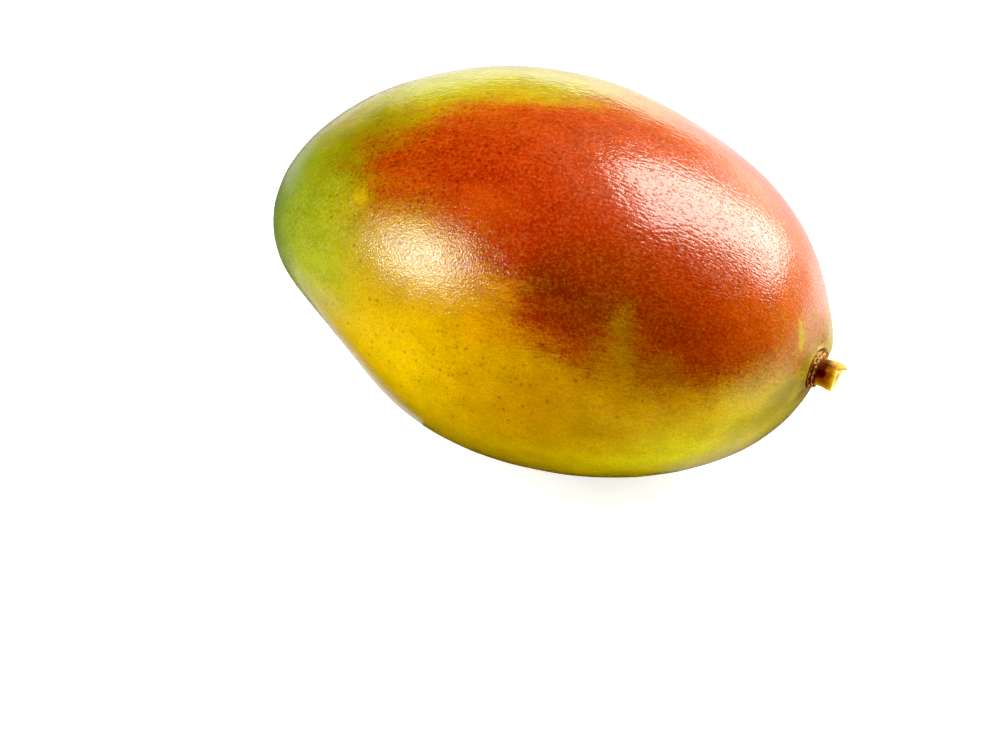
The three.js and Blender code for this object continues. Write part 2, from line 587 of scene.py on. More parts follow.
@dataclass(frozen=True)
class FruitForm:
    """The shape of the fruit: a tapered, bowed ellipsoid with swells, creases and a stalk seat.

    Sizes are in millimetres, and places in degrees from the stalk and from +Y over the top. The
    one crease is the seam by the stalk.
    """

    length: float = 130.0
    width: float = 92.6
    thickness: float = 80.8
    width_taper: float = -0.055
    thickness_taper: float = 0.053
    bow: float = 3.2
    droop: float = 1.7
    round_end: float = 40.0
    rest_depth: float = 1.5
    rest_blend: float = 0.12
    seat_drop: float = 0.45
    seat_radius: float = 4.3
    seat_ease: float = 1.2
    lip_radius: float = 4.75
    lip_width: float = 0.45
    lip_height: float = 0.45
    socket_radius: float = 3.35
    socket_depth: float = 3.0
    beak: tuple[float, float] = (140.0, 170.0)
    swells: tuple[Swell, ...] = (
        Swell(129.5, 203.5, 26, -6.6),
        Swell(141, 170, 11, 0.6),
        Swell(11, 0, 9, 1.2),
        Swell(68, 44, 11, -0.7),
        Swell(105, 58, 19, 0.7),
    )
    creases: tuple[Crease, ...] = (Crease((7, 105), (27, 75), 3.2, -0.15),)
    unevenness: tuple[tuple[float, Waves], ...] = (
        (0.07, Waves(26.0, 3)),
        (0.028, Waves(7.5, 5, 26)),
    )
    pucker_count: float = 7.0
    pucker_height: float = 0.16
    pucker_middle: float = 9.0
    pucker_spread: float = 4.5

    @property
    def seat_x(self) -> float:
        """Where the flat seat of the stalk lies along X."""
        return self.length / 2.0 - self.seat_drop

    def skin(self, along: np.ndarray, around: np.ndarray, relief: float = 1.0) -> np.ndarray:
        """Points of the skin.

        The section at t = cos(along) has half axes w (1 + wt t) and h (1 + ht t), both brought
        to their mean near the stalk. The middle of the section is moved by the bow and the droop
        times ((1 - t) / 2)^2. Swells, creases and fine relief move each point along the
        ellipsoid's normal. Round the stalk the points are eased onto the flat seat, and the
        underside is cut off softly at the resting level.

        Args:
            along: Angle from the stalk's pole, radians.
            around: Angle from +Y over the top, radians.
            relief: Share of the fine relief that is added.

        Returns:
            Points in millimetres, in a last axis of three.
        """
        t, s = np.cos(along), np.sin(along)
        oval = smooth(along / math.radians(self.round_end))
        back = ((1.0 - t) / 2.0) ** 2
        half_width = self.width / 2.0 * (1.0 + self.width_taper * t)
        half_height = self.thickness / 2.0 * (1.0 + self.thickness_taper * t)
        mean = (half_width + half_height) / 2.0
        half_width = mean + (half_width - mean) * oval
        half_height = mean + (half_height - mean) * oval
        across, up = s * np.cos(around), s * np.sin(around)
        points = np.stack(
            [
                self.length / 2.0 * t,
                half_width * across - self.bow * back,
                half_height * up - self.droop * back,
            ],
            axis=-1,
        )
        steepness = [t / (self.length / 2.0), across / half_width, up / half_height]
        normals = unit(np.stack(steepness, axis=-1))
        ways = direction(along, around)
        height = sum(swell.at(ways) for swell in self.swells)
        height = height + sum(crease.at(ways) for crease in self.creases)
        height = height + relief * self.fine_relief(points, along, around)
        points = points + height[..., None] * normals
        self.seat(points, t)
        floor = self.rest_depth - self.thickness / 2.0 - self.droop / 4.0
        points[..., 2] = floor + soft_positive(points[..., 2] - floor, self.rest_blend)
        return points

    def fibre_lines(self, ways: np.ndarray) -> np.ndarray:
        """Coordinates that follow the fibres, which fan out of the stalk and meet at the beak.

        The directions are laid flat by a stereographic projection that sends the stalk to
        infinity. With r and a the distance and the angle from the beak there, the coordinates
        are (cos a, sin a, ln r) times half the width, so the third one runs along the fibres.

        Args:
            ways: Unit vectors.

        Returns:
            Millimetres, in a last axis of three.
        """
        def flat(way: np.ndarray) -> np.ndarray:
            """The projection of directions on the plane across the stalk."""
            return way[..., 1:] / np.maximum(1.0 - way[..., :1], 1e-4)

        apart = flat(ways) - flat(place(*self.beak))
        distance = np.maximum(np.linalg.norm(apart, axis=-1, keepdims=True), 1e-3)
        lines = np.concatenate([apart / distance, np.log(distance)], axis=-1)
        return self.width / 2.0 * lines

    def seat(self, points: np.ndarray, t: np.ndarray) -> None:
        """Eases the points near the stalk onto its flat seat and raises the corky lip.

        X goes from the seat's to the skin's own between the seat radius and that radius plus
        the ease, and the lip is a bell of the distance from the axis.

        Args:
            points: Points in millimetres, changed in place.
            t: Cosine of the angle from the stalk.
        """
        from_axis = np.hypot(points[..., 1], points[..., 2])
        free = smooth((from_axis - self.seat_radius) / self.seat_ease)
        lip = self.lip_height * bell(from_axis - self.lip_radius, self.lip_width)
        seated = self.seat_x + (points[..., 0] - self.seat_x) * free + lip
        points[..., 0] = np.where(t > 0.0, seated, points[..., 0])

    def fine_relief(self, points: np.ndarray, along: np.ndarray, around: np.ndarray) -> np.ndarray:
        """Slow unevenness of the whole skin, and puckers that run into the stalk.

        The unevenness is two fields of random waves. The puckers are a cosine of seven times
        the angle round the fruit, under a bell of the distance from the lip.

        Args:
            points: Points of the smooth form, millimetres.
            along: Angle from the stalk's pole, radians.
            around: Angle from +Y over the top, radians.

        Returns:
            Heights in millimetres.
        """
        uneven = sum(height * waves.at(points) for height, waves in self.unevenness)
        near_stalk = bell(np.degrees(along) - self.pucker_middle, self.pucker_spread)
        pucker = np.cos(self.pucker_count * around + 1.5 * np.sin(2.0 * around))
        return uneven + self.pucker_height * pucker * near_stalk


# ---- The colours of the skin ----


@dataclass(frozen=True)
class Patch:
    """A soft patch on the skin, oval and with an uneven edge.

    Attributes:
        along: Degrees from the stalk of its middle.
        around: Degrees from +Y over the top of its middle.
        length: Degrees towards the apex at which it is down to 0.37.
        breadth: Degrees round the fruit at which it is down to 0.37.
        strength: Its weight in the middle, negative where it takes away.
        turn: Degrees by which its length is turned from the apex to a rising angle round.
        firmness: 1 for a plain bell, more for a level middle with a quicker edge.
    """

    along: float
    around: float
    length: float
    breadth: float
    strength: float = 1.0
    turn: float = 0.0
    firmness: float = 1.0

    def weight(self, ways: np.ndarray, wobble: np.ndarray) -> np.ndarray:
        """Strength times exp(-(q^2)^firmness), with q the oval distance from the middle.

        The skin is laid flat round the middle with its distances from it kept, the wobble is
        added, and the two coordinates are turned and divided by the length and the breadth.

        Args:
            ways: Unit vectors.
            wobble: Two shifts in degrees for each vector.

        Returns:
            Weights.
        """
        middle = place(self.along, self.around)
        a, r = math.radians(self.along), math.radians(self.around)
        to_apex = np.array([-math.sin(a), math.cos(a) * math.cos(r), math.cos(a) * math.sin(r)])
        to_round = np.array([0.0, -math.sin(r), math.cos(r)])
        apart = np.degrees(np.arccos(np.clip(ways @ middle, -1.0, 1.0)))
        flat = unit(ways - (ways @ middle)[..., None] * middle)
        u = apart * (flat @ to_apex) + wobble[..., 0]
        v = apart * (flat @ to_round) + wobble[..., 1]
        cos, sin = math.cos(math.radians(self.turn)), math.sin(math.radians(self.turn))
        q = ((u * cos + v * sin) / self.length) ** 2 + ((v * cos - u * sin) / self.breadth) ** 2
        return self.strength * np.exp(-(q**self.firmness))


@dataclass(frozen=True)
class Paint:
    """A patch with a colour that is laid over what is below it.

    Attributes:
        what: What it paints, for the log.
        colour: Its display colour.
        patch: Where it lies.
    """

    what: str
    colour: Colour
    patch: Patch

    def over(self, below: np.ndarray, ways: np.ndarray, wobble: np.ndarray) -> np.ndarray:
        """The colours below, mixed with this paint by the patch's weight."""
        share = self.patch.weight(ways, wobble)[..., None]
        return below + (linear(self.colour) - below) * share


@dataclass(frozen=True)
class SkinPaint:
    """Everything that is painted on the skin, from the ground colour up.

    Attributes:
        ground_base: The ground's colour before any paint is laid on it.
        ground: Paints of the ground, which shows where there is no blush; a few are painted shade.
        line_by_stalk: A thin pale line near the stalk, free of blush.
        line_colour: Its colour.
        blush_base: The red of the cheek.
        blush: Paints that change the blush from place to place.
        cover: Where the blush lies on the ground.
        holes: Where the ground shows through the blush.
        stipple: Where the ground has the pale stipple too, pale dots that are partly painted
            glints.
        freckles: How dense the dark lenticels are.
        grit: How sandy the wax is.
        cracks: Where the wax is finely cracked.
        waves: Degrees of the slow and the quick shift of every edge.
        wave_seeds: Seeds of the shift along the fruit and of the shift round it.
    """

    ground_base: Colour = (202, 154, 6)
    ground: tuple[Paint, ...] = (
        Paint("green underside", (196, 190, 14), Patch(100, 268, 62, 62, 0.9)),
        # Painted shade: the back and the skin behind the stalk are painted a darker green, to
        # offset the strong light from behind.
        Paint("green back", (128, 134, 12), Patch(92, 350, 78, 44, 0.95)),
        Paint("green behind the stalk", (140, 142, 12), Patch(34, 340, 34, 50, 0.9)),
        Paint("yellow upper back", (155, 141, 7), Patch(96, 64, 40, 24, 0.95)),
        Paint("olive end of the cheek", (150, 114, 6), Patch(119, 112, 14, 26, 0.9)),
        Paint("brown olive above it", (120, 98, 3), Patch(128, 105, 11, 15, 0.95)),
        Paint("lime end of the upper back", (176, 172, 10), Patch(121, 74, 16, 16, 0.9)),
        Paint("green apex", (126, 152, 8), Patch(150, 146, 31, 34, 1.0, firmness=1.3)),
        Paint("green flank", (156, 172, 8), Patch(124, 156, 11, 13, 0.8)),
        Paint("dull green of the flank", (142, 158, 8), Patch(136, 149, 6, 10, 0.7)),
        Paint("gold of the belly", (228, 189, 5), Patch(99, 171, 17, 19, 1.0)),
        Paint("tan under the cheek", (216, 152, 6), Patch(84, 148, 13, 12, 0.9)),
        Paint("brown gold of the front", (188, 132, 4), Patch(70, 174, 16, 17, 0.95)),
        Paint("gold towards the stalk", (226, 170, 6), Patch(38, 165, 18, 14, 0.9)),
        Paint("lime along the bottom", (238, 222, 10), Patch(43, 201, 20, 12, 1.0)),
        Paint("olive gold above the bottom", (184, 136, 4), Patch(61, 181, 9, 5, 0.7)),
        Paint("lime near the stalk", (196, 160, 14), Patch(16, 150, 12, 18, 0.9)),
        Paint("green under the stalk", (168, 160, 16), Patch(14, 172, 9, 20, 0.8)),
        Paint("tan below the stalk", (230, 178, 18), Patch(19.5, 176, 8, 14, 0.85)),
        Paint("gold below the stalk", (250, 224, 24), Patch(26, 194, 9.5, 14, 0.9)),
        # Painted shade: the front of the dimple round the stalk is painted a darker olive green.
        Paint("olive green round the stalk", (150, 136, 12), Patch(11, 136, 5, 30, 0.8)),
        Paint("tan skin at the collar", (178, 124, 50), Patch(0, 90, 6.4, 6.4, 0.95, 0, 2.0)),
        Paint("olive band of the cheek", (150, 110, 5), Patch(57, 146, 9, 13, 0.85)),
        Paint("olive brown of the right lobe", (146, 102, 5), Patch(46, 151, 9, 8, 0.85)),
        Paint("tan of the left cheek", (190, 132, 6), Patch(99, 134, 9, 8, 0.6)),
        Paint("bright nick in the cheek", (200, 158, 8), Patch(119, 126, 3.5, 5, 0.85)),
        Paint("dark green above the cheek", (132, 128, 5), Patch(129, 112, 9, 14, 0.7)),
    )
    line_by_stalk: Crease = Crease((14.3, 114), (18.6, 98.5), 1.3, 0.55, 0.3)
    line_colour: Colour = (188, 170, 12)
    blush_base: Colour = (155, 35, 2)
    blush: tuple[Paint, ...] = (
        Paint("light red of the top", (163, 58, 5), Patch(60, 88, 40, 22, 0.9)),
        Paint("orange red of the end", (170, 62, 4), Patch(109, 121, 9, 15, 0.8)),
        Paint("dark right lobe", (129, 45, 2), Patch(48, 138, 13, 14, 0.9)),
        Paint("brown of the lower cheek", (119, 52, 2), Patch(65, 134, 11, 13, 0.95)),
        Paint("dark brown beside it", (103, 33, 2), Patch(73, 134, 5.5, 7.5, 0.8)),
        Paint("orange by the stalk", (184, 76, 6), Patch(25, 105, 12, 21, 0.95)),
        Paint("orange between the glints", (178, 64, 8), Patch(93, 121, 7, 6, 0.9)),
        Paint("orange at the top of the left lobe", (174, 72, 5), Patch(105, 89, 10, 6, 0.8)),
        Paint("peach over the shoulder", (190, 84, 16), Patch(48, 62, 36, 15, 0.8)),
    )
    cover: tuple[Patch, ...] = (
        Patch(74, 108, 38, 33, 1.0, firmness=1.6),
        Patch(50, 76, 36, 48, 0.98, firmness=1.5),
        Patch(47, 136, 22, 24, 0.97, firmness=1.5),
        Patch(106, 109, 22.5, 17, 0.93, firmness=1.1),
        Patch(73, 142, 12, 12, 0.7),
        Patch(81, 93, 24, 12.5, 0.88, firmness=1.8),
        Patch(17, 92, 11, 34, 0.55),
    )
    holes: tuple[Patch, ...] = (
        Patch(58.8, 146.5, 3.6, 14, 0.48, turn=10.0),
        Patch(118, 126, 3.5, 3.5, 0.7),
        Patch(43, 164, 10, 6, 0.3),
        Patch(16.5, 97, 4.5, 8, 0.25),
        Patch(49, 152, 8, 6, 0.4),
        Patch(29, 158, 9, 8, 0.4),
        Patch(119, 101, 12, 11, 0.25),
        Patch(80, 142, 5, 5, 0.3),
    )
    stipple: tuple[Patch, ...] = (Patch(129, 143, 18, 22, 1.0, firmness=1.4),)
    freckles: tuple[Patch, ...] = (
        Patch(114, 113, 12, 18, 1.0, firmness=1.4),
        Patch(98, 102, 14, 12, 0.4),
        Patch(88, 168, 26, 16, 0.16),
        Patch(9, 80, 4, 30, 0.8),
    )
    grit: tuple[Patch, ...] = (Patch(101, 140, 34, 34, 1.0, firmness=1.6),)
    cracks: tuple[Patch, ...] = (Patch(54, 90, 22, 15, 1.0, firmness=2.0),)
    waves: tuple[float, float] = (2.2, 1.4)
    wave_seeds: tuple[int, int] = (11, 12)

    def wobble(self, points: np.ndarray) -> np.ndarray:
        """Two shifts in degrees from random waves, so that no edge is a clean oval.

        Each is the sum of slow waves and quick ones that are drawn out along the fruit.

        Args:
            points: Points of the skin, millimetres.

        Returns:
            Shifts, in a last axis of two.
        """
        slow, quick = self.waves
        parts = [
            slow * Waves(24.0, seed).at(points) + quick * Waves(7.0, seed + 7, 24, 2.0).at(points)
            for seed in self.wave_seeds
        ]
        return np.stack(parts, axis=-1)

    def colours(self, ways: np.ndarray, points: np.ndarray) -> dict[str, np.ndarray]:
        """Works out every attribute of the skin.

        Paints are laid one over another. A share made of patches is one less the product of
        what each patch leaves bare. The cover is its own share, less the holes and the line.

        Args:
            ways: Unit vectors of the skin's points.
            points: The points, millimetres.

        Returns:
            Linear colours "ground" and "blush", and shares by name.
        """
        shift = self.wobble(points)

        def painted(base: Colour, paints: tuple[Paint, ...]) -> np.ndarray:
            """Linear colours of the paints, laid over a base in their order."""
            colour = np.broadcast_to(linear(base), points.shape)
            for paint in paints:
                LOG.debug("laying %s", paint.what)
                colour = paint.over(colour, ways, shift)
            return colour

        def share(patches: tuple[Patch, ...]) -> np.ndarray:
            """How much the patches cover together."""
            return 1.0 - math.prod(1.0 - patch.weight(ways, shift) for patch in patches)

        ground = painted(self.ground_base, self.ground)
        line = self.line_by_stalk.at(ways)
        return {
            "ground": ground + (linear(self.line_colour) - ground) * line[..., None],
            "blush": painted(self.blush_base, self.blush),
            "cover": share(self.cover) * (1.0 - share(self.holes)) * (1.0 - line),
            "stipple": share(self.stipple),
            "freckles": share(self.freckles),
            "grit": share(self.grit),
            "cracks": share(self.cracks),
        }


# ---- The fruit ----


@dataclass(frozen=True)
class Sway:
    """A noise that moves a value up and down.

    Attributes:
        size: Size of its lumps, millimetres.
        swing: How far it moves the value at its ends.
        detail: How many finer layers it has.
        lengthwise: Its scale along the fibres, less than 1 where it is drawn out along them, or
            None where it has no direction.
    """

    size: float
    swing: float
    detail: float = 2.0
    lengthwise: float | None = None

    def moved(self, graph: Graph, lines: object, value: object) -> bpy.types.NodeSocket:
        """The value plus 2 (noise - 0.5) times the swing.

        Args:
            graph: The material's graph.
            lines: The coordinates along the fibres.
            value: The value.

        Returns:
            The moved value.
        """
        noise = graph.noise(self.size, self.detail, graph.drawn_out(self.lengthwise, lines))
        centred = graph.math("SUBTRACT", noise, 0.5)
        return graph.math("MULTIPLY_ADD", centred, 2.0 * self.swing, value)


@dataclass(frozen=True)
class Dots:
    """Round dots, one at the middle of each cell that is drawn.

    Attributes:
        spacing: Distance between the cells, millimetres.
        size: Radius of a dot, millimetres.
        least: Least share of the size that a dot takes.
        extra: How much larger a share the largest takes.
        level: Share of its own radius within which a dot is full.
    """

    spacing: float
    size: float
    least: float = 0.55
    extra: float = 0.7
    level: float = 0.1

    def at(self, graph: Graph, density: object) -> bpy.types.NodeSocket:
        """Draws the dots.

        A cell is drawn where its random number is less than the density, and its dot is 1 at
        the middle and eases to 0 at its size.

        Args:
            graph: The material's graph.
            density: Share of the cells that have one.

        Returns:
            1 on a dot and 0 off it.
        """
        cell = graph.cells(self.spacing)
        drawn = graph.math("LESS_THAN", graph.channel(cell.outputs["Color"], "Red"), density)
        draw = graph.channel(cell.outputs["Color"], "Green")
        taken = graph.math("MULTIPLY_ADD", draw, self.extra, self.least)
        away = graph.math("DIVIDE", cell.outputs["Distance"], taken)
        edge = self.size / self.spacing
        return graph.product(graph.ease(away, edge, self.level * edge), drawn)


@dataclass(frozen=True)
class SkinFinish:
    """Waxy mango skin: ground and blush with stipple, blots, specks and lenticels, under wax.

    Sizes and depths are in millimetres. An ease says where its ramp leaves 0 and reaches 1, and
    a lengthwise number is a scale along the fibres. The pale stipple and specks are partly the
    skin's own pale dots and partly painted glints of the wax.
    """

    roughness: float = 0.42
    gloss: float = 0.15
    wax: float = 1.0
    wax_roughness: float = 0.07
    wax_index: float = 1.5
    edge: tuple[Sway, ...] = (
        Sway(3.4, 0.16, lengthwise=0.5),
        Sway(0.5, 0.26, lengthwise=0.2),
        Sway(0.4, 0.30),
    )
    edge_ease: tuple[float, float] = (0.10, 0.90)
    shades: tuple[Sway, ...] = (
        Sway(5.0, 0.26, 3.0),
        Sway(0.42, 0.20, lengthwise=0.16),
        Sway(0.42, 0.38, 1.0),
    )
    # Pale speck colours on the blush and on the ground: partly the skin's pale dots, partly painted
    # glints.
    speck_and_glint_on_blush: Colour = (216, 122, 82)
    speck_and_glint_on_ground: Colour = (232, 226, 120)
    stipple_size: float = 0.7
    stipple_detail: float = 3.0
    stipple_ease: tuple[float, float] = (0.40, 0.70)
    # Share of the pale stipple, partly painted glints.
    stipple_and_glint_share: float = 0.185
    blot_size: float = 0.6
    blot_lengthwise: float = 0.6
    blot_ease: tuple[float, float] = (0.52, 0.70)
    blot_share: float = 0.4
    blot_tint: Colour = (0.62, 0.42, 0.42)
    specks: Dots = Dots(0.8, 0.20)
    speck_density: float = 0.6
    # Share of the pale specks, partly painted glints.
    speck_and_glint_share: float = 0.24
    lenticels: Dots = Dots(0.98, 0.60)
    lenticel_share: float = 0.72
    lenticel_tint: Colour = (0.46, 0.34, 0.32)
    dome_size: float = 0.80
    dome_blend: float = 0.25
    dome_lengthwise: float = 0.6
    dome_depth: float = 0.064
    dome_lost_to_grit: float = 0.8
    sand_size: float = 0.37
    sand_detail: float = 0.7
    sand_least: float = 0.18
    sand_depth: float = 0.086
    crack_size: float = 0.42
    crack_lengthwise: float = 0.4
    crack_width: float = 0.045
    crack_break_size: float = 0.8
    crack_break_ease: tuple[float, float] = (0.5, 0.58)
    crack_depth: float = 0.055
    pimples: Dots = Dots(0.8, 0.26)
    pimple_depth: float = 0.028

    def colour(self, graph: Graph, lines: object) -> bpy.types.NodeSocket:
        """The colour of the skin.

        The cover is shifted by waves, streaks along the fibres and fine grain before it is
        eased, so that the blush ends in a fine stipple. Noise lightens and darkens the result.
        A stipple and round specks of a paler colour, partly the skin's pale dots and partly painted
        glints, are laid where the blush is full, dark blots drawn out along the fibres tint it, and
        the lenticels darken it where the freckles are dense.

        Args:
            graph: The material's graph.
            lines: The coordinates along the fibres.

        Returns:
            The colour.
        """
        cover = graph.attribute("cover", "Fac")
        for sway in self.edge:
            cover = sway.moved(graph, lines, cover)
        cover = graph.ease(cover, *self.edge_ease)
        ground, blush = (graph.attribute(name, "Color") for name in ("ground", "blush"))
        colour = graph.mix(cover, ground, blush)
        shade = 1.0
        for sway in self.shades:
            shade = sway.moved(graph, lines, shade)
        colour = graph.tint(colour, shade)

        # Pale dots laid as a stipple and as specks: partly the skin's own pale dots, partly painted
        # glints of the wax.
        pale = graph.mix(cover, linear(self.speck_and_glint_on_ground), linear(self.speck_and_glint_on_blush))
        stippled = graph.math("MAXIMUM", cover, graph.attribute("stipple", "Fac"))
        stipple = graph.noise(self.stipple_size, self.stipple_detail)
        stipple = graph.ease(stipple, *self.stipple_ease)
        colour = graph.mix(graph.product(stippled, self.stipple_and_glint_share, stipple), colour, pale)
        blots = graph.noise(self.blot_size, 2.0, graph.drawn_out(self.blot_lengthwise, lines))
        blots = graph.ease(blots, *self.blot_ease)
        blots = graph.product(cover, self.blot_share, blots)
        colour = graph.mix(blots, colour, self.blot_tint, "MULTIPLY")
        specks = graph.product(self.specks.at(graph, self.speck_density), stippled)
        colour = graph.mix(graph.product(specks, self.speck_and_glint_share), colour, pale)
        lenticels = self.lenticels.at(graph, graph.attribute("freckles", "Fac"))
        lenticels = graph.product(lenticels, self.lenticel_share)
        return graph.mix(lenticels, colour, self.lenticel_tint, "MULTIPLY")

    def relief(self, graph: Graph, lines: object) -> bpy.types.NodeSocket:
        """The fine relief of the wax: small domes, sand where it is gritty, cracks and pimples.

        A dome is 1 less the square of the distance from the middle of its cell. A crack lies
        where a noise drawn out along the fibres is near its middle value, and only where
        another noise is high and the wax is painted as cracked.

        Args:
            graph: The material's graph.
            lines: The coordinates along the fibres.

        Returns:
            The normal.
        """
        grit = graph.attribute("grit", "Fac")
        where = graph.drawn_out(self.dome_lengthwise, lines)
        away = graph.cells(self.dome_size, self.dome_blend, where).outputs["Distance"]
        domes = graph.math("SUBTRACT", 1.0, graph.product(away, away))
        left = graph.math("SUBTRACT", 1.0, graph.product(grit, self.dome_lost_to_grit))
        normal = graph.bump(graph.product(domes, left), self.dome_depth)
        sand = graph.math("MULTIPLY_ADD", grit, 1.0 - self.sand_least, self.sand_least)
        sand = graph.product(graph.noise(self.sand_size, self.sand_detail), sand)
        normal = graph.bump(sand, self.sand_depth, normal)
        valley = graph.noise(self.crack_size, 1.0, graph.drawn_out(self.crack_lengthwise, lines))
        off_middle = graph.math("ABSOLUTE", graph.math("SUBTRACT", valley, 0.5))
        crack = graph.ease(off_middle, self.crack_width, 0.0)
        unbroken = graph.ease(graph.noise(self.crack_break_size, 1.0), *self.crack_break_ease)
        crack = graph.product(crack, unbroken, graph.attribute("cracks", "Fac"))
        normal = graph.bump(graph.math("SUBTRACT", 1.0, crack), self.crack_depth, normal)
        pimples = self.pimples.at(graph, self.speck_density)
        return graph.bump(pimples, self.pimple_depth, normal)

    def material(self) -> bpy.types.Material:
        """Builds the material, matt skin below a coat of wax."""
        graph = Graph("mango_skin")
        lines = graph.attribute("fibre_lines", "Vector")
        normal = self.relief(graph, lines)
        return graph.surface(
            Base_Color=self.colour(graph, lines),
            Roughness=self.roughness,
            Specular_IOR_Level=self.gloss,
            Coat_Weight=self.wax,
            Coat_Roughness=self.wax_roughness,
            Coat_IOR=self.wax_index,
            Normal=normal,
            Coat_Normal=normal,
        )


@dataclass
class Fruit:
    """The whole fruit: its skin, from the socket of the stalk to the apex.

    Attributes:
        form: The shape.
        paint: What is painted on it.
        finish: The material.
        sides: Points round each row.
        rows: Rows of skin from the seat to the apex.
        fine_step: Spacing of the rows next to the stalk, millimetres.
        wide_step: Spacing of the rows away from it, millimetres, before they are fitted.
        widens_over: Degrees from the stalk over which the spacing widens.
        spacing_samples: Angles at which the spacing is added up.
        measuring_steps: Steps along and around at which the form is measured.
        lip_depth: How far below the seat the socket's straight wall ends, millimetres.
    """

    form: FruitForm = field(default_factory=FruitForm)
    paint: SkinPaint = field(default_factory=SkinPaint)
    finish: SkinFinish = field(default_factory=SkinFinish)
    sides: int = 400
    rows: int = 242
    fine_step: float = 0.2
    wide_step: float = 0.8
    widens_over: float = 22.0
    spacing_samples: int = 4000
    measuring_steps: int = 720
    lip_depth: float = 0.4

    def row_angles(self) -> np.ndarray:
        """Angles from the stalk of the rows of skin.

        The spacing eases from the fine step to the wide one. The sum of 1 / spacing is taken
        from the seat to the apex, and the rows stand at equal shares of it.

        Returns:
            Angles in radians, the apex left out.
        """
        first = math.asin((self.form.socket_radius + self.fine_step) / (self.form.width / 2.0))
        angles = np.linspace(first, math.pi, self.spacing_samples)
        widening = smooth((angles - first) / math.radians(self.widens_over))
        step = self.fine_step + (self.wide_step - self.fine_step) * widening
        share = np.concatenate([[0.0], np.cumsum(1.0 / step)[:-1]])
        wanted = np.linspace(0.0, share[-1], self.rows + 1)[:-1]
        return np.interp(wanted, share, angles)

    def middle(self) -> np.ndarray:
        """Where the middle of the fruit's formula lies in the frame, millimetres.

        The formula's own box, without fine relief, is matched to the box of the CAD node: their
        middles along X and Y, and their lowest points along Z.

        Returns:
            The place of the formula's origin.
        """
        along, around = np.meshgrid(
            np.linspace(0.0, math.pi, self.measuring_steps + 1),
            np.linspace(0.0, FULL_TURN, self.measuring_steps, endpoint=False),
            indexing="ij",
        )
        points = self.form.skin(along, around, 0.0).reshape(-1, 3)
        low, high = points.min(axis=0), points.max(axis=0)
        cad_low, cad_high = (np.array(corner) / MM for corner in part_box("fruit"))
        shift = (cad_low + cad_high - low - high) / 2.0
        shift[2] = cad_low[2] - low[2]
        return shift

    def socket(self, turn: np.ndarray) -> np.ndarray:
        """Circles of the stalk's socket, from half its floor up its wall to the seat.

        Args:
            turn: Angles of the points of a row, radians.

        Returns:
            Points in rows by sides by three, millimetres.
        """
        seat_x, radius = self.form.seat_x, self.form.socket_radius
        floor_x = seat_x - self.form.socket_depth
        circles = (
            (floor_x, radius / 2.0),
            (floor_x, radius),
            (seat_x - self.lip_depth, radius),
            (seat_x, radius),
        )
        return np.stack([ring(np.full_like(turn, x), reach, turn) for x, reach in circles])

    def build(self, middle: np.ndarray) -> None:
        """Makes the skin's mesh, paints it and adds it as a piece.

        Args:
            middle: Place of the formula's origin, millimetres.
        """
        turn = np.linspace(0.0, FULL_TURN, self.sides, endpoint=False)
        along, around = np.meshgrid(self.row_angles(), turn, indexing="ij")
        socket = self.socket(turn)
        start = np.array([socket[0, 0, 0], 0.0, 0.0])
        end = self.form.skin(np.array([math.pi]), np.array([0.0]))[0]
        rows = np.concatenate([socket, self.form.skin(along, around)])
        mesh = grid_mesh("mango_fruit", start + middle, rows + middle, end + middle)

        points = np.vstack([start[None], rows.reshape(-1, 3), end[None]])
        skin_ways = direction(along, around)
        seat_ways = np.broadcast_to(skin_ways[0], socket.shape)
        to_stalk = np.array([[1.0, 0.0, 0.0]])
        between = np.concatenate([seat_ways, skin_ways]).reshape(-1, 3)
        ways = np.vstack([to_stalk, between, -to_stalk])
        made = self.paint.colours(ways, points)
        for name in ("ground", "blush"):
            add_colour(mesh, name, made.pop(name))
        for name, values in made.items():
            add_share(mesh, name, values)
        add_vectors(mesh, "fibre_lines", self.form.fibre_lines(ways) * MM)
        add_piece(mesh, self.finish.material(), "fruit")


# ---- The stalk ----


@dataclass(frozen=True)
class StalkFinish:
    """Dry stalk: corky collar, fibrous shaft and pale cut face.

    Sizes are in millimetres.

    Attributes:
        roughness: How matt it is.
        gloss: Strength of its reflections.
        fleck_size: Size of the flecks.
        fibre_size: Breadth of the fibres.
        fibre_lengthwise: Scale along the shaft, less than 1 because fibres are long.
        fibre_share: Share of the fibres in the shade, the rest being flecks.
        contrast: How strongly the shade darkens and lightens the paint.
        grain_depth: Depth of the fine relief.
    """

    roughness: float = 0.7
    gloss: float = 0.12
    fleck_size: float = 0.45
    fibre_size: float = 0.28
    fibre_lengthwise: float = 0.15
    fibre_share: float = 0.55
    contrast: float = 1.3
    grain_depth: float = 0.05

    def material(self) -> bpy.types.Material:
        """Builds the material: the painted colour, darkened by fibres and flecks.

        Returns:
            The material.
        """
        graph = Graph("stalk_wood")
        drawn_out = graph.scaled((self.fibre_lengthwise, 1.0, 1.0))
        fibres = graph.noise(self.fibre_size, 2.0, drawn_out)
        flecks = graph.noise(self.fleck_size, 3.0)
        fleck_shade = graph.product(flecks, 1.0 - self.fibre_share)
        shade = graph.math("ADD", graph.product(fibres, self.fibre_share), fleck_shade)
        centred = graph.math("SUBTRACT", shade, 0.5)
        shade = graph.math("MULTIPLY_ADD", centred, self.contrast, 1.0)
        normal = graph.bump(graph.math("ADD", fibres, flecks), self.grain_depth)
        return graph.surface(
            Base_Color=graph.tint(graph.attribute("bark", "Color"), shade),
            Roughness=self.roughness,
            Specular_IOR_Level=self.gloss,
            Normal=normal,
        )


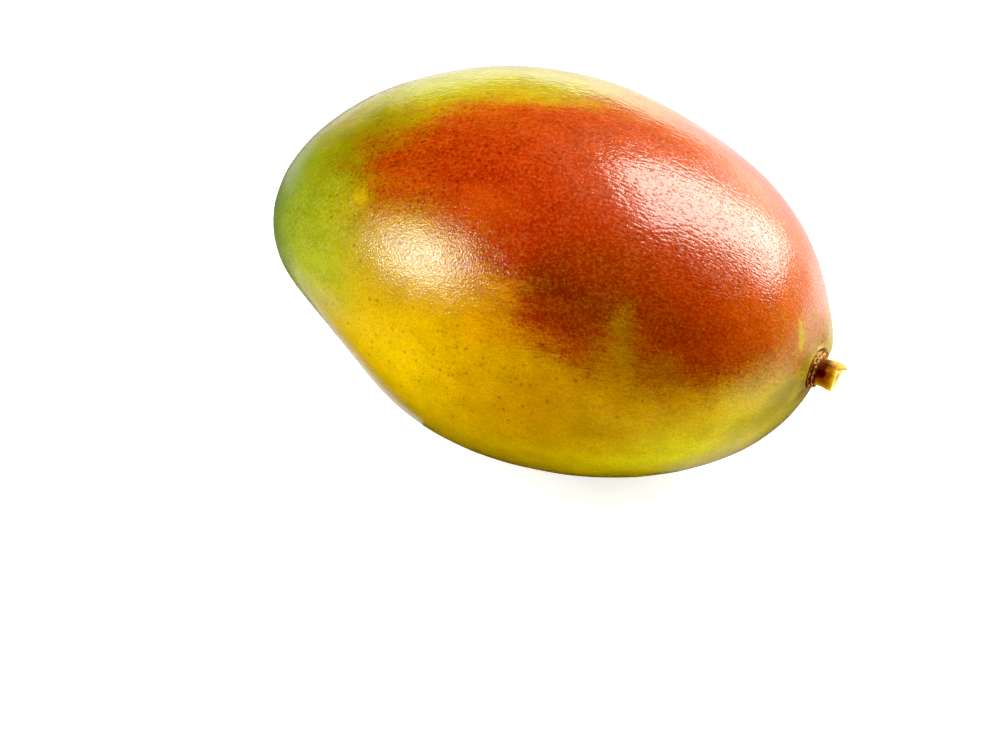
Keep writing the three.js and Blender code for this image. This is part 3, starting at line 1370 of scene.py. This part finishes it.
@dataclass(frozen=True)
class StalkPaint:
    """Display colours of the parts of the stalk."""

    shaft: Colour = (204, 138, 28)
    # Painted light: the underside of the shaft is lighter where the floor lights it.
    painted_floor_light_below: Colour = (218, 168, 34)
    shaft_end: Colour = (230, 194, 62)
    # Painted shade on the upper front side of the shaft: a half shade and a deep shade.
    painted_half_shade: Colour = (170, 92, 12)
    painted_deep_shade: Colour = (70, 27, 8)
    # Painted shade at the foot of the shaft, just above the collar.
    painted_shade_at_foot: Colour = (84, 38, 14)
    bare_strip: Colour = (222, 180, 102)
    cork: Colour = (92, 46, 16)
    worn_cork: Colour = (190, 134, 70)
    cork_lip: Colour = (206, 154, 104)
    cut_wood: Colour = (238, 228, 146)
    ring_in_wood: Colour = (214, 184, 84)
    pith: Colour = (74, 54, 26)


@dataclass
class Stalk:
    """The cut stub of the stalk, from its buried root to its cut face.

    Sizes are in millimetres, and angles round the stalk in degrees from +Y over the top. The
    profile runs from the pit of the cut face to the root, as heights above the seat and radii.
    """

    length: float = 5.7
    radius: float = 3.2
    collar_radius: float = 4.3
    root_radius: float = 3.05
    root_depth: float = 2.7
    facets: int = 5
    facet_depth: float = 0.045
    facet_turn: float = 0.6
    splinter_around: float = 80.0
    splinter_spread: float = 12.5
    splinter_length: float = 1.4
    splinter_depth: float = 0.9
    cut_slant: float = 0.35
    pit_drop: float = 0.02
    sides: int = 216
    rows: int = 170
    corner_rounds: int = 2
    paint: StalkPaint = field(default_factory=StalkPaint)
    finish: StalkFinish = field(default_factory=StalkFinish)

    def profile(self) -> np.ndarray:
        """Heights and radii of the rows, evenly spaced along the outline with rounded corners.

        Each round takes every row to (before + 2 own + after) / 4.

        Returns:
            An array of rows by two.
        """
        r, c, top, root = self.radius, self.collar_radius, self.length, self.root_radius
        cut = (
            (top - 0.62, 0.14), (top - 0.60, 0.50), (top - 0.12, 0.74), (top - 0.04, 1.05),
            (top - 0.07, r * 0.55), (top - 0.02, r - 0.55), (top + 0.03, r - 0.20),
        )
        shaft = (
            (top - 0.14, r), (top - 0.95, r - 0.03), (3.6, r - 0.14), (2.8, r - 0.24),
            (2.2, r - 0.24), (1.85, r - 0.12), (1.68, r + 0.02),
        )
        collar = (
            (1.52, c - 0.50), (1.34, c - 0.40), (1.18, c - 0.48), (1.04, c - 0.58),
            (0.92, c - 0.26), (0.72, c - 0.10), (0.50, c - 0.08), (0.24, c - 0.14),
            (0.06, c - 0.36),
        )
        buried = (
            (0.06, root), (-self.root_depth + 0.25, root), (-self.root_depth, root - 0.25),
        )
        corners = np.array(cut + shaft + collar + buried)
        steps = np.linalg.norm(np.diff(corners, axis=0), axis=1)
        walked = np.concatenate([[0.0], np.cumsum(steps)])
        even = np.linspace(0.0, walked[-1], self.rows)
        eased = np.stack([np.interp(even, walked, corners[:, k]) for k in (0, 1)], axis=-1)
        for _ in range(self.corner_rounds):
            eased[1:-1] = (eased[:-2] + 2.0 * eased[1:-1] + eased[2:]) / 4.0
        return eased

    def points(self, height: np.ndarray, radius: np.ndarray, around: np.ndarray) -> np.ndarray:
        """Points of the stalk about the middle of its seat, along X.

        Above the collar the radius is faceted by a cosine of five times the angle, ridged by
        fibres and made lumpy. The collar is crumbled by random waves. The rim of the cut is
        slanted and rough, and one part of it is drawn out into a splinter.

        Args:
            height: Heights above the seat.
            radius: Distances from the axis.
            around: Angles from +Y over the top, radians.

        Returns:
            Points in millimetres, in a last axis of three.
        """
        above = height - 1.3
        on_shaft = smooth(above / 1.5)
        facet = np.cos(self.facets * around + self.facet_turn) * self.facet_depth * on_shaft
        near_rim = smooth((radius - self.radius + self.splinter_depth) / 0.5)
        near_cut = smooth((height - self.length + 0.9) / 0.9)
        at_splinter = bell(degrees_from(around, self.splinter_around), self.splinter_spread)
        splinter = self.splinter_length * near_rim * near_cut * at_splinter
        slant = self.cut_slant * smooth((above - 1.0) / 3.0) * radius / self.radius * np.sin(around)

        raw = ring(height, radius, around)
        seen = smooth((height + 0.1) / 0.3)
        on_collar = bell(height - 0.85, 0.9) * smooth((radius - self.radius) / 0.6) * seen
        crumbs = 0.15 * Waves(0.9, 41, 30).at(raw) + 0.17 * Waves(2.6, 42, 24).at(raw)
        ridges = np.cos(31.0 * around + 2.0 * np.sin(3.0 * around)) + np.cos(19.0 * around + 1.0)
        fibres = 0.014 * ridges * on_shaft * smooth(radius / self.radius * 2.0 - 1.0)
        lumps = 0.05 * Waves(1.3, 43, 24, 3.0).at(raw) * on_shaft
        bulk = radius * (1.0 + facet) + crumbs * on_collar + fibres + lumps
        rough_cut = 0.07 * Waves(0.7, 44, 26).at(raw) * near_cut
        heaves = 0.10 * on_collar * Waves(1.1, 45, 24).at(raw)
        return ring(height + splinter + slant + rough_cut + heaves, bulk, around)

    def bark(
        self, height: np.ndarray, radius: np.ndarray, around: np.ndarray, made: np.ndarray
    ) -> np.ndarray:
        """Linear colours of the stalk.

        Two beige lips lie on brown cork, with painted shade at the foot of the shaft above them.
        The shaft is golden, with painted shade on its upper front side, darkest near the collar,
        and painted light from the floor on its underside. The cut face is pale, with a ring in the
        wood and a dark pith.

        Args:
            height: Heights above the seat.
            radius: Distances from the axis.
            around: Angles from +Y over the top, radians.
            made: The finished points, for the random waves.

        Returns:
            Colours, in a last axis of three.
        """
        noise = Waves(0.8, 51, 26).at(made)
        slow = Waves(2.4, 52, 20).at(made)
        turned = degrees_from(around, self.splinter_around)
        colour = np.broadcast_to(linear(self.paint.shaft), made.shape)

        def lay(paint: Colour, share: np.ndarray) -> None:
            """Lays a paint over the colour by a share."""
            nonlocal colour
            colour = colour + (linear(paint) - colour) * np.clip(share, 0.0, 1.0)[..., None]

        def side(middle: float, spread: float) -> np.ndarray:
            """A side of the shaft, exp(-(d / s)^4), with d the angle from its middle."""
            return np.exp(-(((turned - middle) / spread) ** 4))

        # Painted light from the floor on the underside of the shaft.
        lay(self.paint.painted_floor_light_below, 0.9 * smooth((np.abs(turned) - 95.0) / 35.0))
        lay(self.paint.shaft_end, smooth((height - 4.6) / 1.0) * (0.85 + 0.3 * slow))
        # Painted shade on the upper front side of the shaft: a half shade nearly up to the cut,
        # then a deep shade that is darkest near the collar.
        lay(self.paint.painted_half_shade, 0.95 * smooth((5.7 - height) / 1.3) * side(52.0, 64.0))
        dark = smooth((5.3 + 0.5 * slow - height) / 2.1)
        lay(self.paint.painted_deep_shade, 0.98 * dark * side(37.0, 57.0))
        # Painted shade all round the foot of the shaft, above the collar.
        lay(self.paint.painted_shade_at_foot, 0.9 * smooth((2.2 - height) / 0.6))
        strip = bell(turned + 12.0, 26.0) * smooth((height - 3.0) / 1.2)
        lay(self.paint.bare_strip, 0.85 * strip * (0.8 + 0.5 * noise))

        on_collar = smooth((radius - self.radius + 0.05) / 0.3) * smooth((2.0 - height) / 0.3)
        lay(self.paint.cork, on_collar * (0.9 + 0.2 * noise))
        lay(self.paint.worn_cork, on_collar * bell(turned + 4.0, 30.0) * smooth(0.75 + noise))
        lips = bell(height - 1.34, 0.13) + bell(height - 0.66, 0.12) * (0.75 + 0.5 * slow)
        crumbs = 0.9 * smooth((noise - 0.42) / 0.25) * bell(height - 0.9, 0.7)
        lip = np.clip(lips + crumbs, 0.0, 1.0) * on_collar
        lay(self.paint.cork_lip, lip * (0.8 + 0.3 * noise))

        near_cut = smooth((height - self.length + 0.35) / 0.15)
        on_cut = near_cut * smooth((self.radius - 0.12 - radius) / 0.2)
        lay(self.paint.cut_wood, 0.92 * on_cut)
        lay(self.paint.ring_in_wood, 0.5 * on_cut * bell(radius - 1.75, 0.35))
        lay(self.paint.pith, bell(radius, 0.95) * smooth((height - 4.0) / 0.5))
        return colour

    def build(self, seat: np.ndarray) -> None:
        """Makes the stalk's mesh, paints it and adds it as a piece.

        Args:
            seat: Place of the middle of the seat, millimetres.
        """
        line = self.profile()
        turn = np.linspace(0.0, FULL_TURN, self.sides, endpoint=False)
        height, around = np.meshgrid(line[:, 0], turn, indexing="ij")
        radius = np.broadcast_to(line[:, 1][:, None], height.shape)
        rows = self.points(height, radius, around)
        pit = np.array([line[0, 0] - self.pit_drop, 0.0, 0.0])
        foot = np.array([-self.root_depth, 0.0, 0.0])
        mesh = grid_mesh("mango_stalk", pit + seat, rows + seat, foot + seat)
        colours = self.bark(height, radius, around, rows).reshape(-1, 3)
        add_colour(mesh, "bark", np.vstack([colours[:1], colours, colours[-1:]]))
        add_piece(mesh, self.finish.material(), "stalk")


# ---- The studio ----


def toward(azimuth: float, elevation: float) -> Vector:
    """Unit vector from the object towards a place, with azimuth 0 at -Y and 90 at +X.

    Args:
        azimuth: Degrees round the object.
        elevation: Degrees above the horizon.

    Returns:
        The vector.
    """
    a, e = math.radians(azimuth), math.radians(elevation)
    return Vector((math.sin(a) * math.cos(e), -math.cos(a) * math.cos(e), math.sin(e)))


class Outline(Enum):
    """Outlines of a soft light."""

    BOX = "RECTANGLE"
    ROUND = "ELLIPSE"


@dataclass(frozen=True)
class SoftLight:
    """A soft light that faces the object.

    Attributes:
        name: What it is.
        azimuth: Degrees round the object.
        elevation: Degrees above the horizon.
        distance: Metres from the object.
        span: Degrees that its length and its breadth take up, seen from the object.
        roll: Degrees by which its length is turned from level.
        radiance: Brightness of its face.
        outline: Its outline.
        mirrored: Whether the skin shows its reflection.
        colour: Its colour, linear and at most 1.
    """

    name: str
    azimuth: float
    elevation: float
    distance: float
    span: tuple[float, float]
    roll: float
    radiance: float
    outline: Outline = Outline.BOX
    mirrored: bool = True
    colour: Colour = (1.0, 0.96, 0.87)

    def build(self, middle: Vector) -> None:
        """Makes the light, unseen by the camera itself.

        Its length is turned from level about the line to the object. A face of area A gives the
        radiance L with a power of A L pi.

        Args:
            middle: What it faces, metres.
        """
        out = toward(self.azimuth, self.elevation)
        level = Vector((0.0, 0.0, 1.0)).cross(out).normalized()
        risen = out.cross(level)
        turn = math.radians(self.roll)
        long_way = level * math.cos(turn) + risen * math.sin(turn)
        size = [2.0 * self.distance * math.tan(math.radians(angle) / 2.0) for angle in self.span]
        lamp = bpy.data.lights.new(self.name, "AREA")
        lamp.shape = self.outline.value
        lamp.size, lamp.size_y = size
        round_share = math.pi / 4.0 if self.outline is Outline.ROUND else 1.0
        lamp.energy = self.radiance * size[0] * size[1] * round_share * math.pi
        lamp.color = self.colour
        holder = bpy.data.objects.new(self.name, lamp)
        axes = Matrix((long_way, out.cross(long_way), out)).transposed().to_4x4()
        holder.matrix_world = Matrix.Translation(middle + out * self.distance) @ axes
        holder.visible_camera = False
        holder.visible_glossy = self.mirrored
        bpy.context.scene.collection.objects.link(holder)


@dataclass(frozen=True)
class LightPanel:
    """A panel that glows in the floor and is unseen by the camera itself.

    Attributes:
        name: What it is.
        middle: Its middle along X and Y, metres.
        size: Its sizes along X and Y, metres.
        radiance: Brightness of its face.
    """

    name: str
    middle: tuple[float, float]
    size: tuple[float, float]
    radiance: float

    def build(self) -> None:
        """Makes the panel just above the floor, facing up. Its power is A L pi."""
        lamp = bpy.data.lights.new(self.name, "AREA")
        lamp.shape = "RECTANGLE"
        lamp.size, lamp.size_y = self.size
        lamp.energy = self.radiance * self.size[0] * self.size[1] * math.pi
        holder = bpy.data.objects.new(self.name, lamp)
        holder.location = (*self.middle, MM)
        holder.rotation_euler = (math.pi, 0.0, 0.0)
        holder.visible_camera = False
        bpy.context.scene.collection.objects.link(holder)


@dataclass
class Studio:
    """Camera, pale floor, soft lights and the room that they stand in.

    Attributes:
        azimuth: Degrees round the object at which the camera stands.
        elevation: Degrees above the horizon.
        distance: Metres from the middle of the fruit.
        slide: Metres by which the camera is moved along its own right and up.
        lens: Millimetres.
        sensor_width: Millimetres.
        sight: Nearest and farthest distance that the camera sees, metres.
        floor_size: Width of the floor, metres.
        floor_roughness: How matt it is.
        floor_seen: Display colour of the floor.
        floor_lift: Light added to it there, which keeps shadows faint.
        floor_mirrored: Its display colour in the wax.
        lights: The soft lights.
        panels: The panels that glow in the floor.
        room_glow: Brightness of the room, apart from what the camera sees of it.
        blacks: Brightness that is shown as black.
    """

    azimuth: float = 30.0
    elevation: float = 45.0
    distance: float = 0.614
    slide: tuple[float, float] = (-0.010748, -0.024259)
    lens: float = 100.0
    sensor_width: float = 36.0
    sight: tuple[float, float] = (0.01, 50.0)
    floor_size: float = 8.0
    floor_roughness: float = 0.8
    floor_seen: Colour = (208, 208, 208)
    floor_lift: float = 0.72
    floor_mirrored: Colour = (74, 74, 74)
    lights: tuple[SoftLight, ...] = (
        SoftLight(
            "long_box_behind", 151.5, 40.8, 1.1, (59, 37.5), 67.7, 11.8, colour=(0.95, 1.0, 0.90)
        ),
        SoftLight("dim_wall_behind", 164, 9, 1.1, (30, 24), 0, 1.6),
        SoftLight("low_wall_behind", -160, -0.4, 1.4, (56, 10), 0, 1.2),
        SoftLight("bright_wall_behind", -164, 2.5, 1.4, (26, 10), 0, 0.8),
        SoftLight(
            "round_light_left", -43.8, 35.1, 1.1, (27.5, 19), -44, 17.0, Outline.ROUND,
            colour=(1.0, 0.96, 0.91),
        ),
        SoftLight("overhead", 200, 84, 1.6, (60, 60), 0, 0.25, Outline.BOX, False),
        SoftLight("front_fill", 10, 9, 1.4, (60, 30), 0, 1.7, Outline.BOX, False),
        SoftLight("left_fill", -60, 6, 1.2, (44, 30), 0, 1.55, Outline.BOX, False),
    )
    panels: tuple[LightPanel, ...] = (
        LightPanel("near_glow_behind", (0.0125, 0.205), (0.465, 0.19), 0.8),
        LightPanel("far_glow_behind", (-0.15, 1.4), (1.1, 2.2), 1.3),
        LightPanel("glow_right", (0.11, 0.115), (0.09, 0.06), 2.2),
        LightPanel("high_glow_right", (0.15, 0.20), (0.12, 0.12), 0.45),
        LightPanel("glow_behind_stalk", (0.09, 0.06), (0.05, 0.05), 0.6),
        LightPanel("glow_left", (-0.10, -0.063), (0.02, 0.03), 1.7),
        LightPanel("far_glow_left", (-0.168, 0.077), (0.07, 0.09), 0.7),
        LightPanel("glow_close_behind", (-0.02, 0.075), (0.18, 0.07), 0.8),
        LightPanel("low_glow_left", (-0.068, -0.023), (0.092, 0.018), 0.7),
        LightPanel("under_glow_right", (0.052, -0.010), (0.03, 0.02), 0.25),
        LightPanel("wide_glow_right", (0.153, 0.0), (0.094, 0.09), 1.1),
        LightPanel("far_glow_right", (0.26, 0.07), (0.11, 0.12), 0.8),
    )
    room_glow: float = 0.08
    blacks: float = 0.0175

    def build(self, middle: Vector) -> None:
        """Makes everything.

        Args:
            middle: The middle of the fruit, metres.
        """
        self.camera(middle)
        self.floor()
        self.room()
        for light in self.lights:
            light.build(middle)
        for panel in self.panels:
            panel.build()
        view = bpy.context.scene.view_settings
        view.view_transform = "Standard"
        view.use_curve_mapping = True
        view.curve_mapping.black_level = (self.blacks,) * 3
        view.curve_mapping.update()

    def camera(self, middle: Vector) -> None:
        """Makes the scene's camera.

        Args:
            middle: The middle of the fruit, metres.
        """
        back = toward(self.azimuth, self.elevation)
        right = toward(self.azimuth + 90.0, 0.0)
        up = back.cross(right)
        lens = bpy.data.cameras.new("camera")
        lens.lens, lens.sensor_width = self.lens, self.sensor_width
        lens.clip_start, lens.clip_end = self.sight
        camera = bpy.data.objects.new("camera", lens)
        eye = middle + back * self.distance + right * self.slide[0] + up * self.slide[1]
        axes = Matrix((right, up, back)).transposed().to_4x4()
        camera.matrix_world = Matrix.Translation(eye) @ axes
        bpy.context.scene.collection.objects.link(camera)
        bpy.context.scene.camera = camera

    def floor(self) -> None:
        """Makes the pale floor, on which the fruit rests."""
        half = self.floor_size / 2.0
        mesh = bpy.data.meshes.new("floor")
        corners = [(-half, -half, 0), (half, -half, 0), (half, half, 0), (-half, half, 0)]
        mesh.from_pydata(corners, [], [(0, 1, 2, 3)])
        floor = bpy.data.objects.new("floor", mesh)
        bpy.context.scene.collection.objects.link(floor)
        graph = Graph("floor")
        path = graph.tree.nodes.new("ShaderNodeLightPath")
        lift = graph.math("MULTIPLY", path.outputs["Is Camera Ray"], self.floor_lift)
        seen, mirrored = linear(self.floor_seen), linear(self.floor_mirrored)
        mesh.materials.append(graph.surface(
            Base_Color=graph.mix(path.outputs["Is Glossy Ray"], seen, mirrored),
            Roughness=self.floor_roughness,
            Specular_IOR_Level=0.0,
            Emission_Color=(1.0, 1.0, 1.0),
            Emission_Strength=lift,
        ))

    def room(self) -> None:
        """Makes the room: white to the camera, and dim to everything else."""
        world = bpy.data.worlds.new("room")
        world.use_nodes = True
        bpy.context.scene.world = world
        tree = world.node_tree
        nodes, links = tree.nodes, tree.links
        nodes.clear()
        path = nodes.new("ShaderNodeLightPath")
        seen = nodes.new("ShaderNodeMath")
        seen.operation = "MAXIMUM"
        links.new(path.outputs["Is Camera Ray"], seen.inputs[0])
        seen.inputs[1].default_value = self.room_glow
        glow = nodes.new("ShaderNodeBackground")
        links.new(seen.outputs[0], glow.inputs["Strength"])
        links.new(glow.outputs[0], nodes.new("ShaderNodeOutputWorld").inputs["Surface"])


def main() -> None:
    """Builds the studio and the pieces in order."""
    logging.basicConfig(level=logging.INFO, format="%(name)s: %(message)s")
    fruit, stalk, studio = Fruit(), Stalk(), Studio()
    middle = fruit.middle()
    LOG.info("middle of the fruit: %.3f %.3f %.3f mm", *middle)
    studio.build(Vector(middle * MM))
    fruit.build(middle)
    stalk.build(middle + np.array([fruit.form.seat_x, 0.0, 0.0]))


if __name__ == "__main__":
    main()
